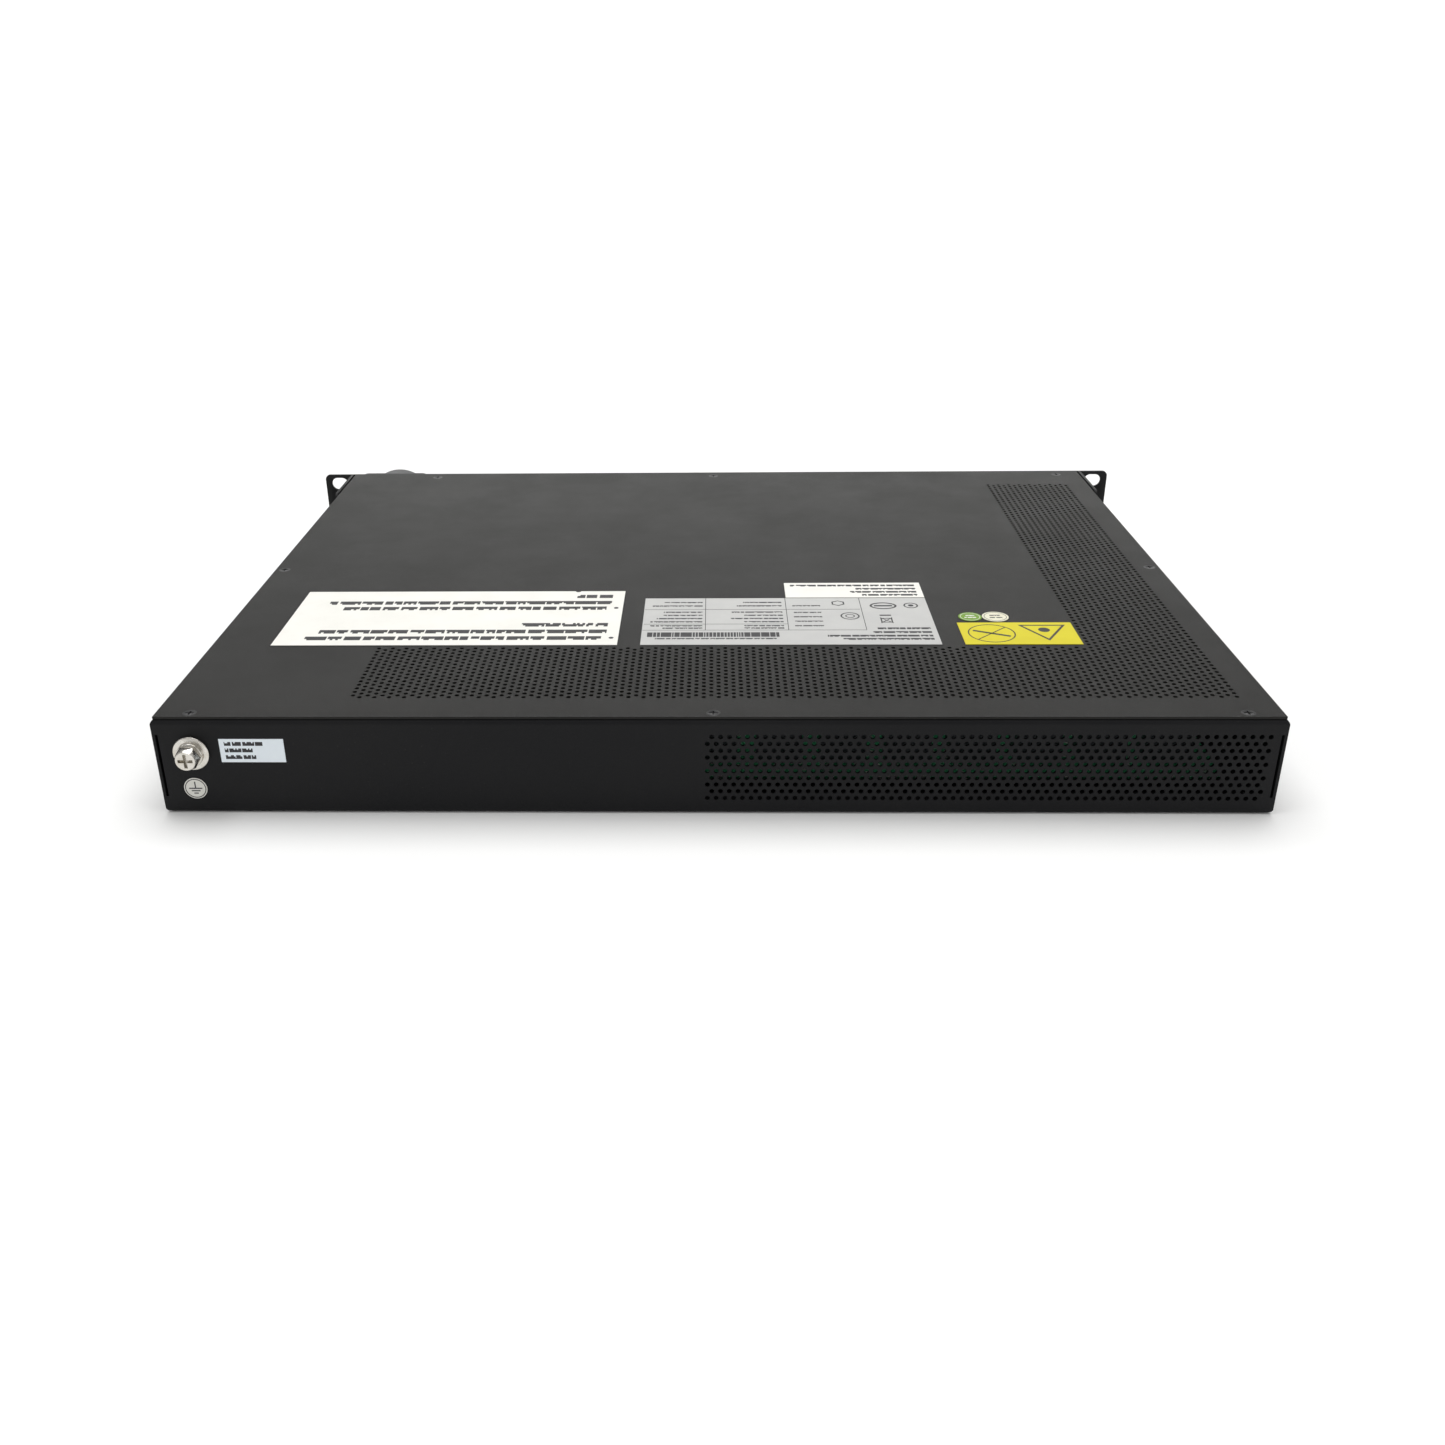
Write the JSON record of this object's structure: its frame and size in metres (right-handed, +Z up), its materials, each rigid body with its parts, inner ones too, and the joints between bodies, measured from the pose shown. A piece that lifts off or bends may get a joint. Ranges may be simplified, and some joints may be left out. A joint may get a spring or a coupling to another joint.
{
  "type": "rack power distribution unit",
  "caption": "Flat black rack-mount power distribution unit with a vented cover, keyed outlets, rocker breakers, a round inlet and two ears.",
  "frame": {"origin": "centre of the four ear slots, on the ears' back faces", "axes": "+Z up, +X to the right seen from the front, the front with the outlets faces -Y"},
  "size_m": [0.4826, 0.3752, 0.0432],
  "materials": {
    "case_black": "fine textured black powder coat",
    "panel_black": "fine textured black powder coat",
    "screw_black": "black oxide",
    "zinc": "bright zinc plate",
    "label_white": "satin polyester label",
    "label_grey": "satin silver-grey label",
    "label_yellow": "satin yellow label",
    "sticker_green": "satin green sticker",
    "sticker_cream": "satin cream sticker",
    "inlet_plastic": "moulded nylon",
    "insert_plastic": "moulded insulator",
    "gasket_rubber": "soft foam rubber",
    "brass": "plated brass",
    "copper": "tinned copper",
    "outlet_plastic": "moulded thermoplastic",
    "breaker_plastic": "moulded thermoset",
    "rocker_plastic": "polished moulding",
    "board_green": "solder mask",
    "jack_metal": "nickel shield",
    "jack_black": "moulded jack",
    "button_grey": "moulded button",
    "light_pipe": "clear light pipe",
    "relay_black": "relay case",
    "supply_white": "potted module",
    "standoff_zinc": "zinc plate",
    "lead_brown": "wire sheath",
    "lead_green": "wire sheath",
    "ribbon_grey": "flat cable"
  },
  "bodies": {
    "unit": {"address_label": "label_white", "board_standoffs": "standoff_zinc", "breaker_body_1": "breaker_plastic", "breaker_body_2": "breaker_plastic", "breaker_body_3": "breaker_plastic", "chassis_tray": "case_black", "clinch_nuts": "standoff_zinc", "console_jack": "jack_black", "control_board": "board_green", "cover_screws": "screw_black", "cream_sticker": "sticker_cream", "ear_screws": "screw_black", "earth_sticker": "label_white", "front_panel": "panel_black", "green_sticker": "sticker_green", "ground_flat_washer": "zinc", "ground_lead": "lead_green", "ground_nut": "zinc", "ground_screw": "zinc", "ground_spring_washer": "zinc", "inlet_blades": "brass", "inlet_gasket": "gasket_rubber", "inlet_insert": "insert_plastic", "inlet_screws": "standoff_zinc", "inlet_shell": "inlet_plastic", "line_bars": "copper", "network_jack": "jack_metal", "outlet_01": "outlet_plastic", "outlet_02": "outlet_plastic", "outlet_03": "outlet_plastic", "outlet_04": "outlet_plastic", "outlet_05": "outlet_plastic", "outlet_06": "outlet_plastic", "outlet_07": "outlet_plastic", "outlet_08": "outlet_plastic", "outlet_09": "outlet_plastic", "outlet_10": "outlet_plastic", "outlet_11": "outlet_plastic", "outlet_12": "outlet_plastic", "outlet_contacts": "brass", "panel_screws": "screw_black", "power_leads": "lead_brown", "rack_ear_left": "panel_black", "rack_ear_right": "panel_black", "rating_label": "label_grey", "relay_board": "board_green", "relays": "relay_black", "reset_switch": "relay_black", "return_bars": "copper", "ribbon_cable": "ribbon_grey", "service_label": "label_white", "shock_label": "label_yellow", "status_lights": "light_pipe", "supply_module": "supply_white", "top_cover": "case_black", "warning_label": "label_white"},
    "rocker_1": {"breaker_rocker_1": "rocker_plastic"},
    "rocker_2": {"breaker_rocker_2": "rocker_plastic"},
    "rocker_3": {"breaker_rocker_3": "rocker_plastic"},
    "button": {"reset_button": "button_grey"}
  },
  "joints": [
    {"name": "rocker_1_tilt", "type": "hinge", "parent": "unit", "child": "rocker_1", "pos_m": [0.0671, 0.0035, 0], "axis": [1, 0, 0], "range_deg": [-18, 0]},
    {"name": "rocker_2_tilt", "type": "hinge", "parent": "unit", "child": "rocker_2", "pos_m": [-0.0477, 0.0035, 0], "axis": [1, 0, 0], "range_deg": [-18, 0]},
    {"name": "rocker_3_tilt", "type": "hinge", "parent": "unit", "child": "rocker_3", "pos_m": [-0.1625, 0.0035, 0], "axis": [1, 0, 0], "range_deg": [-18, 0]},
    {"name": "reset_press", "type": "slide", "parent": "unit", "child": "button", "axis": [0, 1, 0], "range_m": [0, 0.0012], "stiffness_N_per_m": 800}
  ]
}
